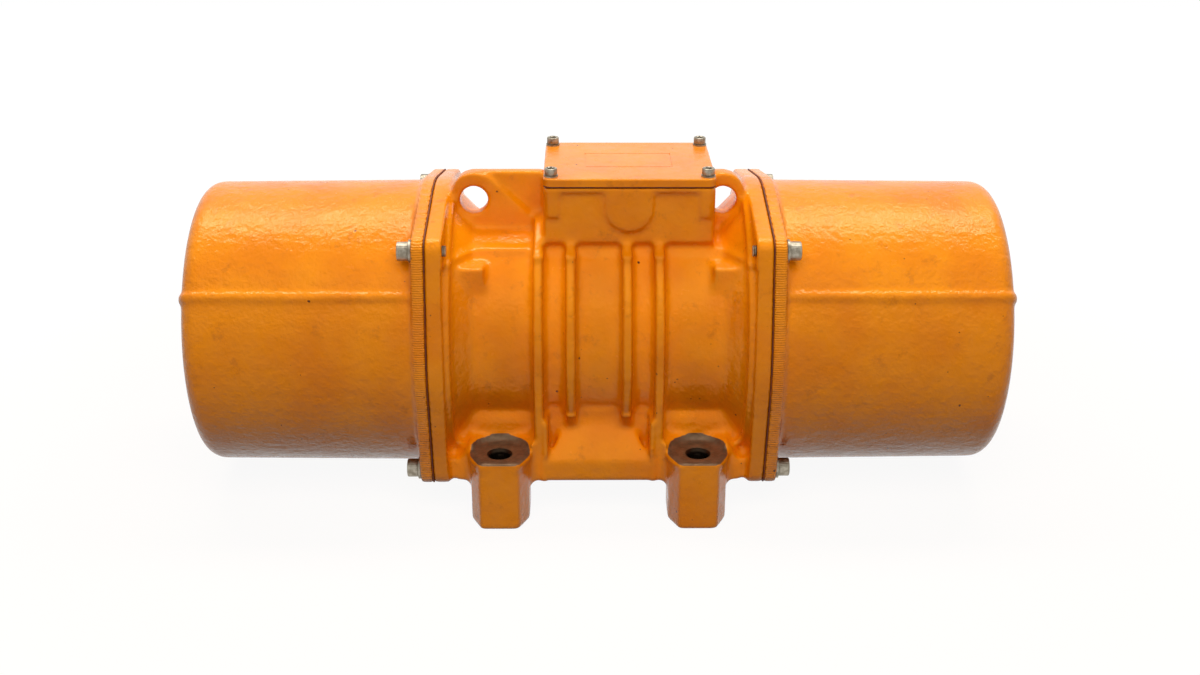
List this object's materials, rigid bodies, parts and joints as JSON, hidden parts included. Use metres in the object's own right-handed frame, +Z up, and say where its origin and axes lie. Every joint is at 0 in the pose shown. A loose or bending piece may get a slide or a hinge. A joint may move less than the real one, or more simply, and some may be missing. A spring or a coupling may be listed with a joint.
{
  "type": "vibration motor",
  "caption": "Foot-mounted electric vibration motor: ribbed housing with lifting eyes and terminal box, drum guards over eccentric weights on both shaft ends.",
  "frame": {"origin": "centre of the four foot holes on the mounting plane, at the undersides of the feet", "axes": "+X along the shaft, +Y to the back, +Z up from the mounting plane"},
  "size_m": [0.5772, 0.226, 0.2456],
  "materials": {
    "orange_enamel_casting": "glossy enamel over a cast surface",
    "grey_iron": "machined cast iron",
    "steel_laminations": "stacked laminations",
    "copper_windings": "varnished copper wire",
    "cast_aluminium": "die cast",
    "machined_steel": "turned",
    "bearing_steel": "ground",
    "brass": "machined",
    "zinc_plated_steel": "zinc plated",
    "moulded_board": "moulded thermoset",
    "rubber_seal": "flat gasket"
  },
  "bodies": {
    "motor_body": {"bearing_outer_ring_left": "bearing_steel", "bearing_outer_ring_right": "bearing_steel", "cover_screws_left": "zinc_plated_steel", "cover_screws_right": "zinc_plated_steel", "earth_screw": "zinc_plated_steel", "end_shield_left": "grey_iron", "end_shield_right": "grey_iron", "grease_cover_left": "grey_iron", "grease_cover_right": "grey_iron", "guard_gasket_left": "rubber_seal", "guard_gasket_right": "rubber_seal", "guard_screws_left": "zinc_plated_steel", "guard_screws_right": "zinc_plated_steel", "guard_washers_left": "zinc_plated_steel", "guard_washers_right": "zinc_plated_steel", "housing": "orange_enamel_casting", "lid_screws": "zinc_plated_steel", "lid_washers": "zinc_plated_steel", "shield_screws_left": "zinc_plated_steel", "shield_screws_right": "zinc_plated_steel", "stator_core": "steel_laminations", "stator_windings": "copper_windings", "terminal_board": "moulded_board", "terminal_gasket": "rubber_seal", "terminal_lid": "orange_enamel_casting", "terminal_links": "brass", "terminal_nuts": "brass", "terminal_studs": "brass", "weight_guard_left": "orange_enamel_casting", "weight_guard_right": "orange_enamel_casting"},
    "rotor": {"shaft": "machined_steel", "rotor_core": "steel_laminations", "rotor_cage_rings": "cast_aluminium", "bearing_inner_ring_left": "bearing_steel", "flinger_ring_left": "machined_steel", "fixed_weight_left": "grey_iron", "shaft_key_left": "machined_steel", "end_washer_left": "machined_steel", "shaft_nut_left": "machined_steel", "bearing_inner_ring_right": "bearing_steel", "flinger_ring_right": "machined_steel", "fixed_weight_right": "grey_iron", "shaft_key_right": "machined_steel", "end_washer_right": "machined_steel", "shaft_nut_right": "machined_steel"},
    "turning_weight_left": {"adjustable_weight_left": "grey_iron", "clamp_screws_left": "machined_steel"},
    "roller_set_left": {"bearing_cage_left": "brass", "bearing_rollers_left": "bearing_steel"},
    "turning_weight_right": {"adjustable_weight_right": "grey_iron", "clamp_screws_right": "machined_steel"},
    "roller_set_right": {"bearing_cage_right": "brass", "bearing_rollers_right": "bearing_steel"}
  },
  "joints": [
    {"name": "rotor_spin", "type": "hinge", "parent": "motor_body", "child": "rotor", "pos_m": [0, 0, 0.116], "axis": [1, 0, 0], "continuous": true},
    {"name": "weight_turn_left", "type": "hinge", "parent": "rotor", "child": "turning_weight_left", "pos_m": [-0.226, 0, 0.116], "axis": [1, 0, 0], "range_deg": [0, 180]},
    {"name": "rollers_orbit_left", "type": "hinge", "parent": "motor_body", "child": "roller_set_left", "pos_m": [-0.11, 0, 0.116], "axis": [1, 0, 0], "continuous": true},
    {"name": "weight_turn_right", "type": "hinge", "parent": "rotor", "child": "turning_weight_right", "pos_m": [0.226, 0, 0.116], "axis": [1, 0, 0], "range_deg": [0, 180]},
    {"name": "rollers_orbit_right", "type": "hinge", "parent": "motor_body", "child": "roller_set_right", "pos_m": [0.11, 0, 0.116], "axis": [1, 0, 0], "continuous": true}
  ],
  "couplings": [
    {"joint": "rollers_orbit_left", "follows": "rotor_spin", "ratio": 0.4045},
    {"joint": "rollers_orbit_right", "follows": "rotor_spin", "ratio": 0.4045}
  ]
}
